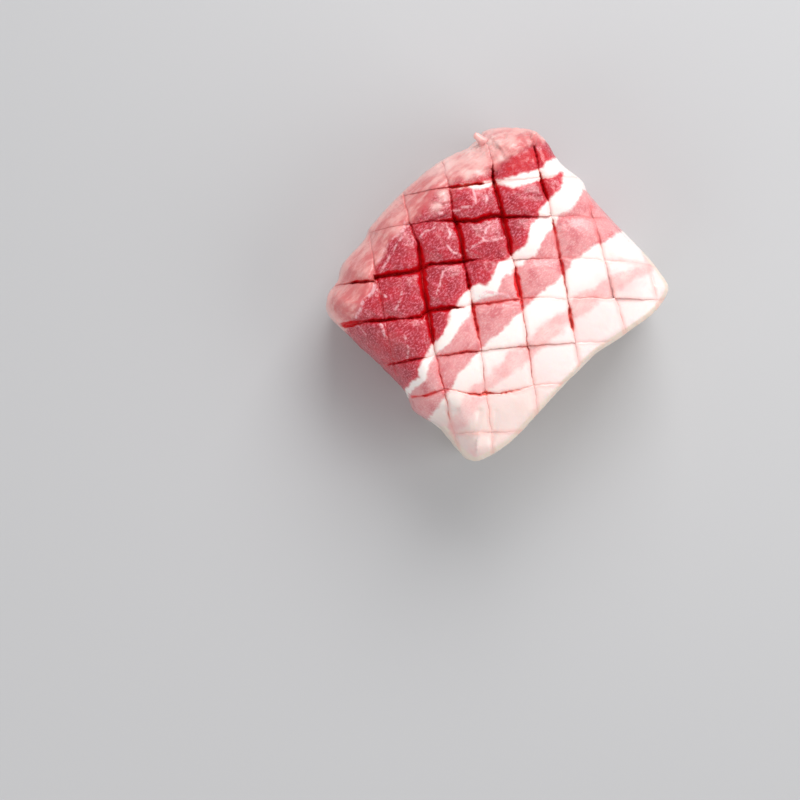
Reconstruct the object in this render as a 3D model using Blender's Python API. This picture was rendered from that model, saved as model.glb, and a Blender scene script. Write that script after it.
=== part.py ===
"""A block of raw pork belly, scored with a knife.

The block lies on one cut side, with the other cut side up. The rind is the upright side at -Y and
the rib side is at +Y, so the layers of fat and lean run along X and stand upright in the block.
Two families of knife cuts cross the upper side and leave a pattern of pillowed diamonds.
The meat is one piece, so it is one solid: a scored slab, kept inside a column of the block's outline.
Lengths are in millimetres until they reach a mesh.
"""
import math
import random

import bmesh
import bpy
from mathutils import Vector

MM = 0.001

# The upper side: its height at the crown, and how far it falls away from there
CROWN_HEIGHT = 42.0
CROWN_AT = (4.0, -4.0)
HALF_LENGTH = 36.5
HALF_DEPTH = 34.5
FALL_ALONG_RIND = 2.5     # lost at HALF_LENGTH from the crown
FALL_ACROSS = 3.5         # lost at HALF_DEPTH from the crown

# Plan outline at the widest level, counter-clockwise. Each side has the points of its outline, from
# one corner to the next, and the width and depth of the round shoulder along its upper edge.
SIDES = {
    "rind": {"points": ((-33.9, -31.9), (-30.0, -33.5), (-23.0, -34.4), (-14.5, -33.7),
                        (-3.5, -32.5), (8.5, -31.8), (17.5, -33.0), (26.0, -33.9), (32.0, -33.1)),
             "shoulder": (4.0, 2.0)},
    "right": {"points": ((35.0, -31.3), (36.0, -27.8), (36.5, -22.3), (36.0, -9.3), (36.0, 0.7),
                         (36.8, 4.7), (35.7, 11.7), (36.8, 19.2), (35.7, 23.7)),
              "shoulder": (7.0, 10.0)},
    "rib": {"points": ((32.3, 28.0), (27.0, 31.9), (21.5, 31.5), (12.5, 33.9), (0.5, 34.4),
                       (-12.0, 33.3), (-16.5, 31.6), (-25.0, 30.6), (-29.0, 28.1)),
            "shoulder": (12.0, 17.0)},
    "left": {"points": ((-34.0, 26.7), (-36.7, 22.7), (-36.4, 14.7), (-35.3, 3.7), (-35.2, -6.3),
                        (-36.6, -12.3), (-34.4, -19.3), (-34.8, -27.3)),
             "shoulder": (9.0, 15.0)},
}
STEPS_PER_SPAN = 3        # points put on the smooth curve between two outline points
CORNER_BLEND = 5          # curve points to each side over which one shoulder turns into the next
SHOULDER_SPLIT = 0.75     # outer share of a shoulder's width that the slab leaves to the column
SHOULDER_LEVELS = 4

# Upright sides below the shoulder: tucked in at the foot and widest in the middle
WIDEST_LEVEL = 17.0
FOOT_TUCK = 2.2
FOOT_LEVELS = (0.0, 1.5, 5.0, 10.0)
COLUMN_TOP = 48.0

# Knife cuts. A down cut runs from the rib side to the rind and is given by its X at three stations
# in Y. A cross cut is given by its Y at the same three stations in X. The width is for the lean.
STATIONS = (30.0, 0.0, -30.0)
DOWN_CUTS = (
    {"at": (-15.5, -33.4, -49.8), "depth": 3.0, "width": 0.7},
    {"at": (-1.5, -20.2, -36.1), "depth": 6.5, "width": 1.8},
    {"at": (11.7, -6.6, -28.1), "depth": 7.0, "width": 1.5},
    {"at": (26.9, 8.0, -11.5), "depth": 7.0, "width": 1.5},
    {"at": (38.7, 22.1, 4.0), "depth": 6.5, "width": 1.2},
    {"at": (52.7, 34.3, 19.3), "depth": 4.5, "width": 0.9},
    {"at": (66.7, 47.7, 30.8), "depth": 2.0, "width": 0.7},
)
CROSS_CUTS = (
    {"at": (10.5, 32.2, 52.0), "depth": 4.5, "width": 1.1},
    {"at": (-3.3, 21.9, 41.0), "depth": 6.5, "width": 1.2},
    {"at": (-19.0, 7.7, 27.2), "depth": 7.0, "width": 1.4},
    {"at": (-32.0, -6.6, 13.2), "depth": 6.5, "width": 1.5},
    {"at": (-47.0, -21.2, -0.4), "depth": 6.0, "width": 1.1},
    {"at": (-60.0, -34.5, -12.2), "depth": 5.0, "width": 1.0},
    {"at": (-75.0, -50.0, -25.5), "depth": 2.5, "width": 0.7},
)
CUT_SPACING = 12.0        # between neighbouring cuts, on average
LEAN_ENDS = 0.0           # Y where the lean gives way to the fat under the rind
FAT_SETTLES = -14.0       # Y beyond which a cut is as narrow as the fat leaves it
WIDTH_IN_FAT = 0.5        # share of a cut's width that is left there
RIND_REACHED = -24.0      # Y from which a cut gets shallower towards the rind
RIND_FACE = -33.0
DEPTH_AT_RIND = 0.3       # share of a cut's depth that is left at the rind
PILLOW_DROP = 1.4         # how much lower a diamond is beside a cut than in its middle
DIAMOND_LIFT = 0.5        # most that one diamond stands above or below its neighbours
LIFT_SEED = 11

# The slab that carries the cuts: its grid has seven lines to a diamond, the first along the cut
DIAMOND_STEPS = (0.0, 0.1, 0.26, 0.42, 0.58, 0.74, 0.9)
FIRST_DIAMOND = -1        # the grid goes past the outer cuts by whole diamonds
LAST_DIAMOND = 9
SLAB_BOTTOM = -6.0
SMALLEST_EDGE = 0.02      # shorter edges left by the intersection are welded

LEAN_PINK = (0.62, 0.16, 0.17, 1.0)


def clear_scene():
    for thing in list(bpy.data.objects):
        bpy.data.objects.remove(thing, do_unlink=True)


def clamp(value, low, high):
    return min(max(value, low), high)


def smooth_step(share):
    share = clamp(share, 0.0, 1.0)
    return share * share * (3.0 - 2.0 * share)


def smooth_outline():
    """The outline as a closed Catmull-Rom curve: (point, shoulder width, shoulder depth) in turn."""
    points = [Vector(point) for side in SIDES.values() for point in side["points"]]
    shoulders = [Vector(side["shoulder"]) for side in SIDES.values() for _ in side["points"]]
    curve, plain = [], []
    for i, start in enumerate(points):
        before, end, after = (points[(i + k) % len(points)] for k in (-1, 1, 2))
        for step in range(STEPS_PER_SPAN):
            t = step / STEPS_PER_SPAN
            curve.append(0.5 * (2.0 * start + (end - before) * t
                                + (2.0 * before - 5.0 * start + 4.0 * end - after) * t ** 2
                                + (3.0 * start - before - 3.0 * end + after) * t ** 3))
            plain.append(shoulders[i])
    reach = range(-CORNER_BLEND, CORNER_BLEND + 1)
    blended = [sum((plain[(i + k) % len(plain)] for k in reach), Vector((0.0, 0.0))) / len(reach)
               for i in range(len(plain))]
    return [(point, width, depth) for point, (width, depth) in zip(curve, blended)]


def is_inside(place, outline):
    """Whether a plan position is inside the outline, by counting the spans to its right."""
    inside = False
    for (start, _, _), (end, _, _) in zip(outline, outline[1:] + outline[:1]):
        if (start.y > place.y) != (end.y > place.y):
            crossed = start.x + (place.y - start.y) / (end.y - start.y) * (end.x - start.x)
            if place.x < crossed:
                inside = not inside
    return inside


def shoulder_drop(place, outline):
    """How far the slab has rounded down at a plan position. The column rounds the rest."""
    point, width, depth = min(outline, key=lambda item: (place - item[0]).length_squared)
    reach = (place - point).length * (1.0 if is_inside(place, outline) else -1.0)
    outward = max(1.0 - reach / width, 0.0)
    split = min(outward, SHOULDER_SPLIT)
    slope = split / math.sqrt(1.0 - split ** 2)
    return depth * (1.0 - math.sqrt(1.0 - split ** 2) + slope * min(outward - split, 1.0))


def plain_height(place, outline):
    """Height of the slab before it is scored."""
    along = (place.x - CROWN_AT[0]) / HALF_LENGTH
    across = (place.y - CROWN_AT[1]) / HALF_DEPTH
    crown = CROWN_HEIGHT - FALL_ALONG_RIND * along ** 2 - FALL_ACROSS * across ** 2
    return crown - shoulder_drop(place, outline)


def cut_place(cuts, number, station):
    """Where a cut lies at a station. Cuts count from 1, and a part number lies between two cuts."""
    lower = clamp(math.floor(number), 1, len(cuts) - 1)
    along = (STATIONS[0] - station) / (STATIONS[0] - STATIONS[2])
    first, second = (cut["at"][0] * (2.0 * along - 1.0) * (along - 1.0)
                     + cut["at"][1] * 4.0 * along * (1.0 - along)
                     + cut["at"][2] * along * (2.0 * along - 1.0) for cut in cuts[lower - 1:lower + 1])
    return first + (second - first) * (number - lower)


def crossing(down, cross):
    """Plan position where a down cut and a cross cut meet."""
    x, y = 0.0, 0.0
    for _ in range(25):
        x = cut_place(DOWN_CUTS, down, y)
        y = cut_place(CROSS_CUTS, cross, x)
    return Vector((x, y))


def nearest_cut(cuts, number, what):
    """Depth or width of the cut nearest to a number, and 0 outside the first and the last one."""
    nearest = round(number)
    return cuts[nearest - 1][what] if 1 <= nearest <= len(cuts) else 0.0


def depth_share(place):
    """Share of its full depth that a cut has: the rind stops the knife."""
    near_rind = smooth_step((RIND_REACHED - place.y) / (RIND_REACHED - RIND_FACE))
    return 1.0 + (DEPTH_AT_RIND - 1.0) * near_rind


def beside_cut(cuts, number, step, place):
    """The number of a grid line. The first and last lines of a diamond follow the cut's lips."""
    if step not in (1, len(DIAMOND_STEPS) - 1) or nearest_cut(cuts, number, "width") == 0.0:
        return number
    in_fat = smooth_step((LEAN_ENDS - place.y) / (LEAN_ENDS - FAT_SETTLES))
    width = nearest_cut(cuts, number, "width") * (1.0 + (WIDTH_IN_FAT - 1.0) * in_fat)
    from_cut = 0.5 * width / CUT_SPACING
    return round(number) + (from_cut if step == 1 else -from_cut)


def pillow_drop(cuts, number):
    """How far a diamond's surface has sunk towards the nearest cut of one family."""
    share = nearest_cut(cuts, number, "depth") / max(cut["depth"] for cut in cuts)
    return PILLOW_DROP * share * (1.0 - 2.0 * abs(number - round(number))) ** 2


def scored_slab(outline):
    """A closed slab with the scored upper side, wider than the block."""
    lines = (LAST_DIAMOND - FIRST_DIAMOND) * len(DIAMOND_STEPS)
    draw = random.Random(LIFT_SEED)
    lifts = [[draw.uniform(-DIAMOND_LIFT, DIAMOND_LIFT) for _ in range(len(CROSS_CUTS) + 1)]
             for _ in range(len(DOWN_CUTS) + 1)]
    mesh = bmesh.new()
    bmesh.ops.create_grid(mesh, x_segments=lines, y_segments=lines, size=0.5)
    for vertex in mesh.verts:
        (down, down_step), (cross, cross_step) = (
            divmod(round((value + 0.5) * lines), len(DIAMOND_STEPS)) for value in vertex.co.xy)
        down_number = FIRST_DIAMOND + down + DIAMOND_STEPS[down_step]
        cross_number = FIRST_DIAMOND + cross + DIAMOND_STEPS[cross_step]
        place = crossing(down_number, cross_number)
        down_number = beside_cut(DOWN_CUTS, down_number, down_step, place)
        cross_number = beside_cut(CROSS_CUTS, cross_number, cross_step, place)
        place = crossing(down_number, cross_number)
        height = plain_height(place, outline)
        height -= pillow_drop(DOWN_CUTS, down_number) + pillow_drop(CROSS_CUTS, cross_number)
        height += lifts[clamp(FIRST_DIAMOND + down, 0, len(DOWN_CUTS))][
            clamp(FIRST_DIAMOND + cross, 0, len(CROSS_CUTS))]
        depths = [nearest_cut(cuts, number, "depth") if step == 0 else 0.0 for cuts, number, step in (
            (DOWN_CUTS, down_number, down_step), (CROSS_CUTS, cross_number, cross_step))]
        height -= max(depths) * depth_share(place)
        vertex.co = Vector((place.x, place.y, height)) * MM
    lower = bmesh.ops.extrude_face_region(mesh, geom=mesh.faces[:])["geom"]
    for vertex in (item for item in lower if isinstance(item, bmesh.types.BMVert)):
        vertex.co.z = SLAB_BOTTOM * MM
    bmesh.ops.recalc_face_normals(mesh, faces=mesh.faces[:])
    return mesh


def ring_at(outline, inset_and_level):
    """A ring round the block: each outline point moved in and set to its level."""
    ring = []
    for i, (point, width, depth) in enumerate(outline):
        along = outline[(i + 1) % len(outline)][0] - outline[i - 1][0]
        inward = Vector((-along.y, along.x)).normalized()
        inset, level = inset_and_level(width, depth)
        place = point + inward * inset
        ring.append(Vector((place.x, place.y, level)) * MM)
    return ring


def column_rings(outline):
    """Rings from the foot to above the block, the upper ones following each side's shoulder."""
    rings = []
    for level in FOOT_LEVELS:
        tuck = FOOT_TUCK * (1.0 - level / WIDEST_LEVEL) ** 2
        rings.append(ring_at(outline, lambda width, depth: (tuck, level)))
    edge_height = CROWN_HEIGHT - 0.5 * (FALL_ALONG_RIND + FALL_ACROSS)
    for step in range(SHOULDER_LEVELS + 1):
        outward = 1.0 - (1.0 - SHOULDER_SPLIT) * step / SHOULDER_LEVELS
        fall = 1.0 - math.sqrt(1.0 - outward ** 2)
        rings.append(ring_at(outline, lambda width, depth: (
            width * (1.0 - outward), edge_height - depth * fall)))
    rings.append(ring_at(outline, lambda width, depth: (width * (1.0 - outward), COLUMN_TOP)))
    return rings


def outline_column(outline):
    """The block's upright sides, closed at the foot and above the slab."""
    mesh = bmesh.new()
    loops = []
    for ring in column_rings(outline):
        corners = [mesh.verts.new(place) for place in ring]
        loops.append([mesh.edges.new(pair) for pair in zip(corners, corners[1:] + corners[:1])])
    for lower, upper in zip(loops, loops[1:]):
        bmesh.ops.bridge_loops(mesh, edges=lower + upper)
    for loop in (loops[0], loops[-1]):
        bmesh.ops.contextual_create(mesh, geom=loop)
    bmesh.ops.recalc_face_normals(mesh, faces=mesh.faces[:])
    return mesh


def new_object(name, shape):
    mesh = bpy.data.meshes.new(name)
    shape.to_mesh(mesh)
    shape.free()
    thing = bpy.data.objects.new(name, mesh)
    bpy.context.scene.collection.objects.link(thing)
    return thing


def meat_material():
    material = bpy.data.materials.new("raw_pork_belly")
    material.use_nodes = True
    surface = material.node_tree.nodes["Principled BSDF"]
    surface.inputs["Base Color"].default_value = LEAN_PINK
    surface.inputs["Roughness"].default_value = 0.35
    surface.inputs["Metallic"].default_value = 0.0
    return material


def build():
    clear_scene()
    outline = smooth_outline()
    column = new_object("block_outline", outline_column(outline))
    column.hide_render = True
    column.display_type = "WIRE"

    block = new_object("pork_belly_block", scored_slab(outline))
    block.data.materials.append(meat_material())
    trim = block.modifiers.new("keep inside the outline", "BOOLEAN")
    trim.operation = "INTERSECT"
    trim.solver = "EXACT"
    trim.object = column
    weld = block.modifiers.new("weld short edges", "WELD")
    weld.merge_threshold = SMALLEST_EDGE * MM


build()
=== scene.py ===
import math

import bmesh
import bpy
import numpy as np
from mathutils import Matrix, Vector, noise


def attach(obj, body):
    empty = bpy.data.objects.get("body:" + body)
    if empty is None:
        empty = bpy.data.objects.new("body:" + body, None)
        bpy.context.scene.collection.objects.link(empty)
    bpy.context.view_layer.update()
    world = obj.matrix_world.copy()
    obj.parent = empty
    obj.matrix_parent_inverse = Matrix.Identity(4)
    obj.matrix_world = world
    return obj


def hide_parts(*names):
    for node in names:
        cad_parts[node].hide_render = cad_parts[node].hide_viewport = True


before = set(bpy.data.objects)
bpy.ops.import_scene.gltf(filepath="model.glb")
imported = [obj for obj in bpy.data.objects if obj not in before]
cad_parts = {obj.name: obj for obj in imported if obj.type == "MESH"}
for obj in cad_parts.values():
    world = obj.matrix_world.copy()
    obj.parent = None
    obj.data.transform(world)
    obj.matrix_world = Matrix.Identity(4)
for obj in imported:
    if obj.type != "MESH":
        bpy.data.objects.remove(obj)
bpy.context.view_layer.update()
mm = 0.001

# The block of belly, in millimetres: rind at -Y, rib side at +Y, layers upright along X.
# Each side has its corners in plan, then the width and depth of the round shoulder above it.
block = {
    "crownHeight": 41.7,
    "crownAt": (4.0, -4.0),
    "halfSize": (36.5, 34.5),
    "fall": (2.5, 3.5),             # lost at halfSize from the crown, along and across the rind
    "rind": {"corners": ((-33.9, -31.9), (-30.0, -33.5), (-23.0, -34.4), (-14.5, -33.7),
                         (-3.5, -32.5), (8.5, -31.8), (17.5, -33.0), (26.0, -33.9), (32.0, -33.1)),
             "shoulder": (2.6, 2.0)},
    "right": {"corners": ((35.0, -31.3), (36.0, -27.8), (36.5, -22.3), (36.0, -9.3), (36.0, 0.7),
                          (36.8, 4.7), (35.7, 11.7), (36.8, 19.2), (35.7, 23.7)),
              "shoulder": (7.0, 10.0)},
    "rib": {"corners": ((32.3, 28.0), (27.0, 31.9), (21.5, 31.5), (12.5, 33.9), (0.5, 34.4),
                        (-12.0, 33.3), (-16.5, 31.6), (-25.0, 30.6), (-29.0, 28.1)),
            "shoulder": (12.0, 17.0)},
    "left": {"corners": ((-34.0, 26.7), (-36.7, 22.7), (-36.4, 14.7), (-35.3, 3.7), (-35.2, -6.3),
                         (-36.6, -12.3), (-34.4, -19.3), (-34.8, -27.3)),
             "shoulder": (9.0, 15.0)},
    "sides": ("rind", "right", "rib", "left"),
    "stepsPerSpan": 10,             # points of the smooth outline between two corners
    "cornerBlend": 14,              # outline points over which one shoulder turns into the next
    "shoulderSplit": 0.8,           # outer share of a shoulder that the upright sides make
    "shoulderRows": 9,
    "sideRows": 32,
    "widestLevel": 17.0,
    "footTuck": 2.2,
    "footRound": ((0.0, 0.9), (0.2, 0.4), (0.55, 0.12), (1.2, 0.0)),    # (height, how far in)
    "underRings": 12,
    "slabBottom": -6.0,
    "columnTop": 48.0,
    "weld": 0.02,
    "rimRows": 2,                   # rows of points beside the rim that are eased with it
    "rimSmoothings": 6,
    "mends": 4,
}

# Knife cuts: a down cut has its X at three stations in Y, a cross cut its Y at three stations in X.
# A bend is (place along the cut, shift there), and a gape is (place along the cut, width there).
cuts = {
    "stations": (30.0, 0.0, -30.0),
    "down": (
        {"at": (-15.5, -33.4, -49.8), "depth": 3.0, "bend": ((0.0, 0.0),),
         "gape": ((4.0, 0.15), (10.0, 0.2), (13.0, 0.15), (15.5, 0.4), (19.5, 0.3), (21.0, 0.2),
                  (24.5, 0.4), (30.0, 0.2))},
        {"at": (-1.5, -20.2, -36.1), "depth": 6.5,
         "bend": ((-30.0, 0.0), (0.0, -0.3), (8.0, 0.0), (14.0, 0.5), (20.0, 0.8), (24.0, -0.5),
                  (30.0, -1.5)),
         "gape": ((-33.0, 0.1), (-22.0, 0.15), (-16.0, 0.35), (-9.0, 0.35), (-3.5, 0.2), (-2.2, 0.3),
                  (0.5, 1.4), (6.0, 1.7), (10.0, 2.0), (16.0, 2.1), (19.5, 1.3), (21.5, 0.3), (27.0, 0.2))},
        {"at": (11.0, -6.6, -26.8), "depth": 7.0,
         "bend": ((-30.0, 0.5), (-9.0, 0.4), (0.0, 0.0), (18.0, -0.2), (20.0, -0.9), (24.0, 0.0)),
         "gape": ((-27.0, 0.05), (-18.5, 0.1), (-16.5, 0.35), (-14.5, 0.15), (-10.0, 0.15), (-8.5, 0.4),
                  (-5.5, 0.8), (-3.0, 0.9), (-1.0, 0.9), (0.5, 0.1), (2.2, 0.1), (3.3, 0.9), (4.5, 0.8),
                  (6.5, 0.35), (9.5, 0.8), (12.0, 1.3), (17.0, 1.5), (19.0, 1.0), (20.5, 0.3), (24.0, 0.35),
                  (26.0, 0.1))},
        {"at": (24.3, 8.0, -11.0), "depth": 7.0,
         "bend": ((9.0, 0.0), (14.0, -0.4), (20.0, -0.7), (24.0, 0.6)),
         "gape": ((-33.0, 0.1), (-27.0, 0.25), (-22.0, 0.3), (-20.0, 0.45), (-18.5, 0.4), (-15.0, 0.3),
                  (-11.0, 0.4), (-8.8, 0.6), (-7.3, 1.0), (-4.0, 1.6), (-1.5, 0.9), (-0.6, 0.15), (1.5, 0.1),
                  (2.5, 0.9), (5.0, 1.2), (8.0, 1.5), (12.0, 1.3), (18.0, 0.9), (22.3, 0.7), (23.5, 0.05))},
        {"at": (38.7, 22.1, 4.0), "depth": 6.5, "bend": ((0.0, 0.0), (12.0, -0.7), (20.0, -0.6)),
         "gape": ((-32.0, 0.1), (-24.0, 0.15), (-22.3, 0.9), (-19.0, 0.9), (-17.5, 0.5), (-16.0, 0.3),
                  (-11.0, 0.6), (-9.0, 0.8), (-5.0, 0.5), (-2.0, 0.5), (1.2, 0.9), (2.0, 0.1), (6.0, 0.1),
                  (7.5, 0.8), (11.0, 0.9), (13.0, 0.6), (14.0, 0.15), (15.2, 0.3), (17.0, 0.4), (19.5, 0.4),
                  (21.0, 0.05))},
        {"at": (52.7, 34.3, 19.3), "depth": 4.5, "bend": ((0.0, 0.0),),
         "gape": ((-31.0, 0.1), (-16.0, 0.2), (-13.0, 0.15), (-11.0, 0.35), (-9.0, 0.3), (-7.0, 0.1))},
        {"at": (66.7, 47.7, 30.8), "depth": 2.0, "bend": ((0.0, 0.0),), "gape": ((-30.0, 0.12),)},
    ),
    "cross": (
        {"at": (10.5, 32.2, 52.0), "depth": 4.5, "bend": ((0.0, 0.0),),
         "gape": ((-6.0, 0.1), (4.0, 0.1), (8.5, 0.3), (9.5, 1.0), (12.0, 1.2), (15.5, 1.0), (16.5, 0.3),
                  (18.0, 0.3), (20.0, 0.1), (30.0, 0.1))},
        {"at": (-3.3, 21.9, 41.0), "depth": 6.5, "bend": ((0.0, 0.0), (8.0, -0.8), (12.5, 1.0), (15.0, 0.0)),
         "gape": ((-12.0, 0.1), (0.0, 0.15), (2.0, 0.6), (4.5, 1.4), (10.0, 1.7), (14.0, 1.5), (15.0, 0.9),
                  (18.5, 0.5), (20.0, 0.1))},
        {"at": (-19.0, 7.7, 25.8), "depth": 7.0,
         "bend": ((-30.0, 1.2), (-26.0, -0.2), (-22.4, -1.0), (-21.2, -0.1), (-12.0, -0.7), (-8.0, 0.8),
                  (-4.0, 0.3), (2.0, 0.4), (8.0, 0.0)),
         "gape": ((-30.0, 0.2), (-27.5, 0.3), (-26.0, 0.8), (-22.6, 0.6), (-22.0, 0.2), (-21.2, 1.2),
                  (-17.0, 1.5), (-12.0, 1.6), (-10.0, 0.9), (-7.0, 0.7), (-5.0, 1.0), (-3.0, 1.5),
                  (-1.2, 1.2), (0.0, 0.8), (1.5, 0.2), (3.0, 0.1), (26.0, 0.1))},
        {"at": (-32.0, -6.6, 13.2), "depth": 6.5,
         "bend": ((-36.0, 1.5), (-33.0, 1.2), (-30.0, 0.3), (-22.0, -0.9), (-19.3, -1.2), (-16.6, 0.5),
                  (-12.0, 0.3), (-9.0, -0.2), (-6.0, 0.3), (2.0, 0.6), (7.0, 1.0), (12.0, 0.0)),
         "gape": ((-37.0, 1.4), (-33.5, 1.3), (-31.5, 0.6), (-28.0, 1.0), (-25.0, 0.9), (-24.0, 0.3),
                  (-22.0, 0.7), (-19.0, 0.8), (-16.6, 1.4), (-12.5, 1.5), (-10.5, 0.8), (-9.0, 0.1),
                  (-7.4, 0.1), (-6.6, 0.6), (-2.0, 0.55), (2.0, 0.55), (3.0, 0.35), (7.0, 0.2), (9.0, 0.1),
                  (24.0, 0.1))},
        {"at": (-47.0, -21.2, -0.4), "depth": 6.0, "bend": ((0.0, 0.0),),
         "gape": ((-35.0, 0.3), (-31.0, 0.5), (-27.0, 0.5), (-25.0, 0.1), (-22.5, 0.1), (-21.5, 0.5),
                  (-17.0, 0.65), (-14.5, 0.5), (-13.0, 0.2), (-6.0, 0.2), (-4.5, 0.35), (-2.0, 0.15),
                  (0.0, 0.3), (1.5, 0.1), (12.0, 0.1))},
        {"at": (-60.0, -34.5, -12.2), "depth": 5.0,
         "bend": ((-34.0, 0.5), (-31.8, 0.1), (-27.2, 1.6), (-25.3, 0.6), (-23.7, -0.6), (-21.2, -1.6),
                  (-19.2, -1.0), (-16.9, -1.6), (-13.6, -1.0), (-8.0, 0.0)),
         "gape": ((-36.0, 0.8), (-33.0, 0.6), (-31.0, 0.9), (-29.0, 0.5), (-27.0, 0.35), (-24.0, 0.5),
                  (-21.5, 1.1), (-19.5, 1.1), (-18.0, 0.6), (-13.0, 0.6), (-11.0, 0.4), (-10.0, 0.15),
                  (-3.0, 0.2), (4.0, 0.1))},
        {"at": (-75.0, -50.0, -25.5), "depth": 2.5, "bend": ((0.0, 0.0),), "gape": ((-30.0, 0.12),)},
    ),
    "spacing": 12.0,
    "wander": 0.28, "wanderSize": 3.0,      # how far a cut strays from its smooth line, and how often
    "raggedLips": 0.5,              # share by which a gape's width varies
    "raggedSize": 1.6,
    "rindReached": -24.0,           # from here towards the rind a cut gets shallower
    "rindFace": -33.0,
    "depthAtRind": 0.25,
    "paleDepth": 0.55,              # share of a gap's depth that is left in the pale lean and fat
    "pillowDrop": 1.0,              # a diamond sinks this much towards a cut
    "lipDrop": 0.9,                 # and curls over this much more right beside it
    "lipReach": 0.9,
    "openDepth": 0.42,              # share of a cut's depth down to which its lips stand apart
    "skinEase": 0.6,                # how much less the skin on the rib side sinks beside a cut
    "lift": 0.45,                   # most that one diamond stands above or below its neighbours
    "tilt": 0.8,                    # most that it rises from one edge to the other
    "seed": 11,
    "linesPerDiamond": 38,
    "crowding": 0.55,               # how much closer the grid lines are beside a cut
    "slabReach": ((-1.0, 8.0), (-1.0, 9.0)),   # cut numbers that the slab reaches to
    "solver": "MANIFOLD",
}

# Layers in plan: (X, Y, half width) along the middle of each band, and the line where the rib skin starts
layers = {
    "firstFat": ((-36.0, -6.0, 0.7), (-33.0, -6.5, 1.0), (-29.8, -6.6, 1.0), (-28.2, -5.4, 1.3),
                 (-26.5, -4.4, 1.2), (-23.5, -3.5, 1.2), (-19.2, -3.1, 1.6), (-15.5, -2.4, 1.5),
                 (-13.7, -1.2, 1.7), (-11.5, -0.4, 2.2), (-8.9, 0.2, 2.0), (-6.4, 1.0, 1.8),
                 (-3.9, 0.5, 2.1), (-2.6, -0.6, 1.7), (-1.0, -1.3, 1.5), (1.1, -0.4, 1.4), (2.9, 0.3, 1.5),
                 (5.0, 0.5, 1.9), (8.0, 0.2, 1.8), (11.5, -0.3, 1.8), (14.0, -0.1, 1.8), (16.3, 0.9, 2.0),
                 (18.6, 2.3, 2.3), (21.5, 2.6, 2.5), (24.5, 3.6, 2.6), (28.0, 3.8, 3.0), (31.0, 3.9, 2.6),
                 (34.0, 5.4, 3.2), (37.5, 6.8, 4.6)),
    "topFat": ((9.5, 25.2, 0.3), (11.8, 23.8, 0.5), (13.7, 21.8, 0.8), (16.1, 20.4, 0.7),
               (18.0, 19.1, 0.5), (19.9, 18.0, 0.8), (22.0, 16.0, 1.6), (24.0, 14.9, 1.5),
               (26.5, 13.7, 1.5), (28.9, 12.8, 1.4), (30.5, 12.1, 1.8), (33.0, 11.9, 2.0), (37.5, 11.0, 3.0)),
    "secondFat": ((37.5, -18.0, 5.2), (32.0, -17.0, 5.3), (28.8, -16.2, 4.7), (25.1, -15.0, 4.7),
                  (21.5, -14.3, 4.4), (18.5, -14.4, 4.1), (14.9, -13.8, 3.0), (10.0, -14.2, 3.7),
                  (5.8, -13.8, 3.4), (0.3, -13.8, 3.2), (-3.5, -14.2, 3.4), (-8.7, -13.8, 2.7),
                  (-13.2, -13.9, 3.1), (-17.3, -14.7, 2.8), (-21.5, -14.5, 2.4), (-24.5, -15.7, 2.2),
                  (-28.3, -16.7, 2.7), (-32.5, -17.8, 2.7), (-37.0, -18.3, 3.0)),
    "streak": ((36.0, -24.6, 0.8), (33.6, -24.3, 1.0), (31.0, -23.4, 1.2), (28.8, -22.3, 1.4),
               (25.0, -21.5, 2.0), (21.5, -20.8, 2.3), (19.0, -20.2, 1.5), (16.6, -20.0, 2.3),
               (13.2, -19.9, 2.6), (10.4, -19.6, 1.8), (6.0, -19.7, 2.2), (2.7, -19.2, 2.2),
               (-1.6, -19.4, 1.8), (-5.6, -19.3, 2.2), (-8.7, -19.0, 2.6), (-11.0, -19.0, 2.1),
               (-15.3, -18.9, 1.7), (-19.0, -18.7, 1.5), (-22.5, -19.5, 2.3), (-26.0, -20.4, 2.0),
               (-28.5, -21.4, 2.0), (-31.5, -21.8, 1.7), (-37.0, -22.4, 1.3)),
    "ribLine": ((38.0, 18.5), (34.0, 18.8), (31.7, 19.8), (29.2, 20.4), (27.0, 21.1), (24.8, 21.3),
                (21.0, 20.8), (19.5, 22.5), (17.0, 23.5), (14.0, 24.6), (12.0, 25.7), (9.4, 26.5),
                (6.5, 27.5), (3.6, 27.1), (-0.3, 25.7), (-3.8, 25.9), (-10.7, 25.7), (-14.0, 25.3),
                (-16.3, 24.3), (-19.2, 23.6), (-21.9, 21.1), (-24.6, 18.9), (-27.8, 18.7), (-29.7, 17.6),
                (-32.0, 17.1), (-38.0, 17.0)),
}

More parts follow.
